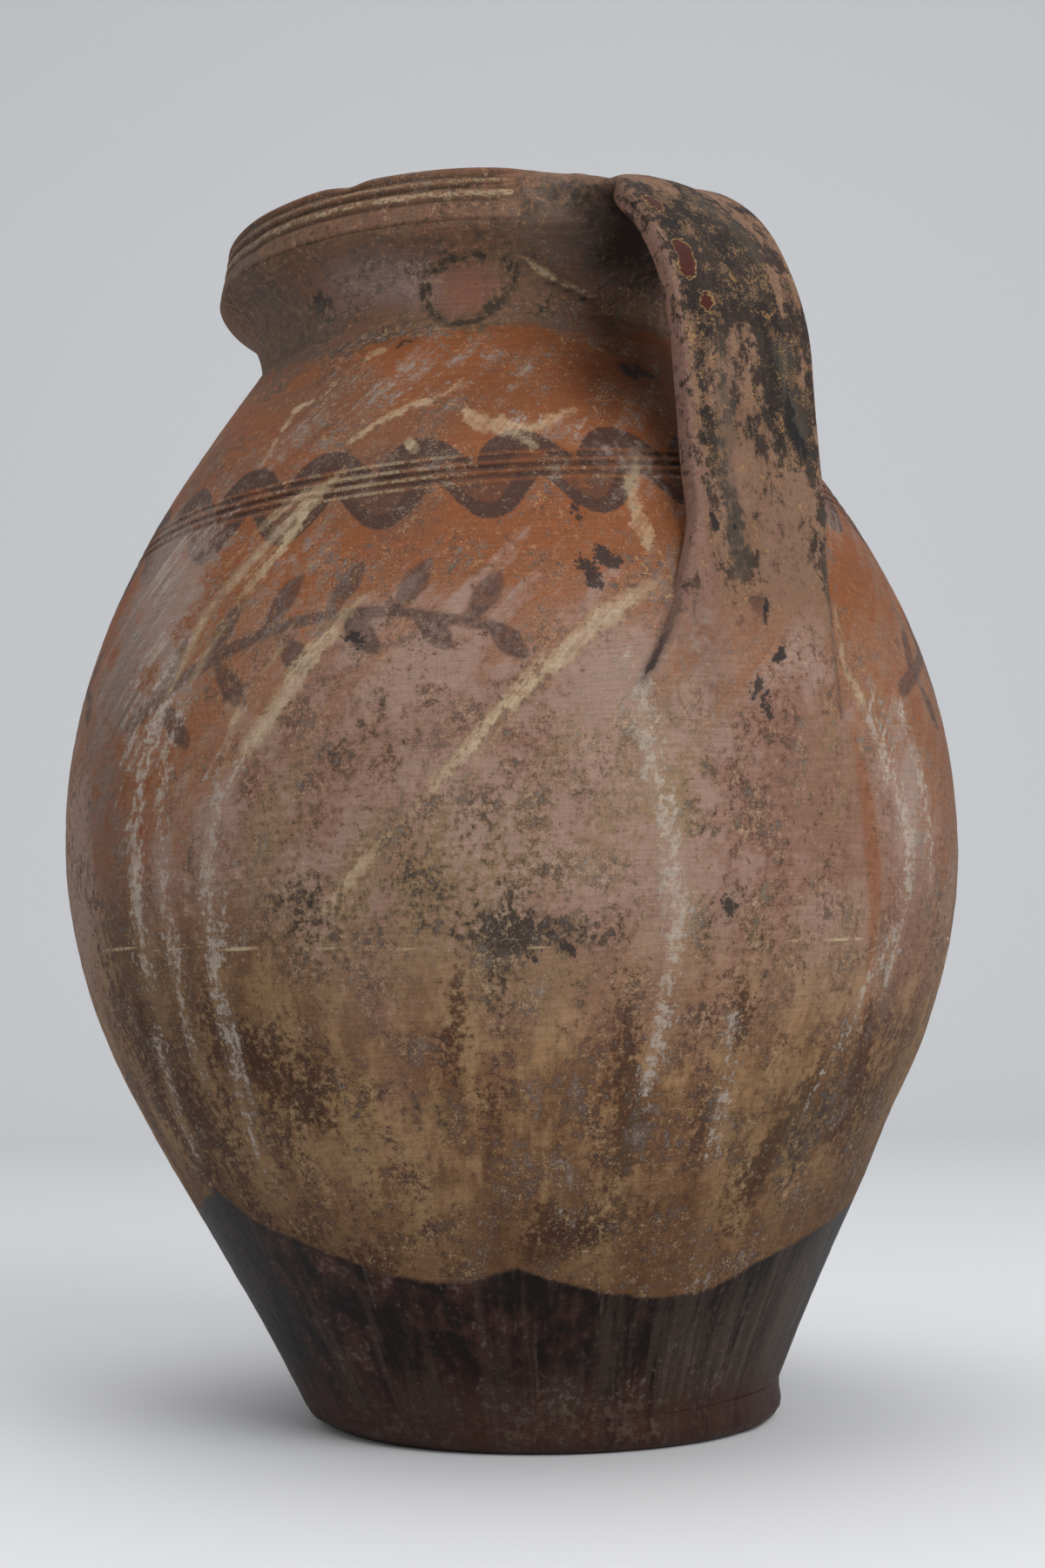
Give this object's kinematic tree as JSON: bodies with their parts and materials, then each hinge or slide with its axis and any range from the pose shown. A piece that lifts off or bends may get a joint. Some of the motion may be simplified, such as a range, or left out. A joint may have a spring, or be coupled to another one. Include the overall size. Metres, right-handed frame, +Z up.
{
  "type": "olive jar",
  "caption": "Hand-thrown earthenware olive jar with a wide mouth, a grooved rim and one strap handle.",
  "frame": {"origin": "middle of the flat foot, on the surface that the jar stands on", "axes": "+Z up, +X from the foot's middle towards the handle, +Y to the left of the handle seen from the jar"},
  "size_m": [0.3194, 0.3168, 0.4234],
  "materials": {
    "dipped_foot": "satin",
    "bare_body": "matt",
    "inside_clay": "matt",
    "slipped_shoulder": "satin",
    "rim_clay": "matt",
    "handle_clay": "matt"
  },
  "bodies": {
    "root": {"base": "dipped_foot", "lower_wall": "bare_body", "inner_seam_coil": "inside_clay", "shoulder_wall": "slipped_shoulder", "neck": "rim_clay", "rim_band": "rim_clay", "handle_strap": "handle_clay", "upper_handle_lute": "handle_clay", "lower_handle_lute": "handle_clay"}
  },
  "joints": []
}
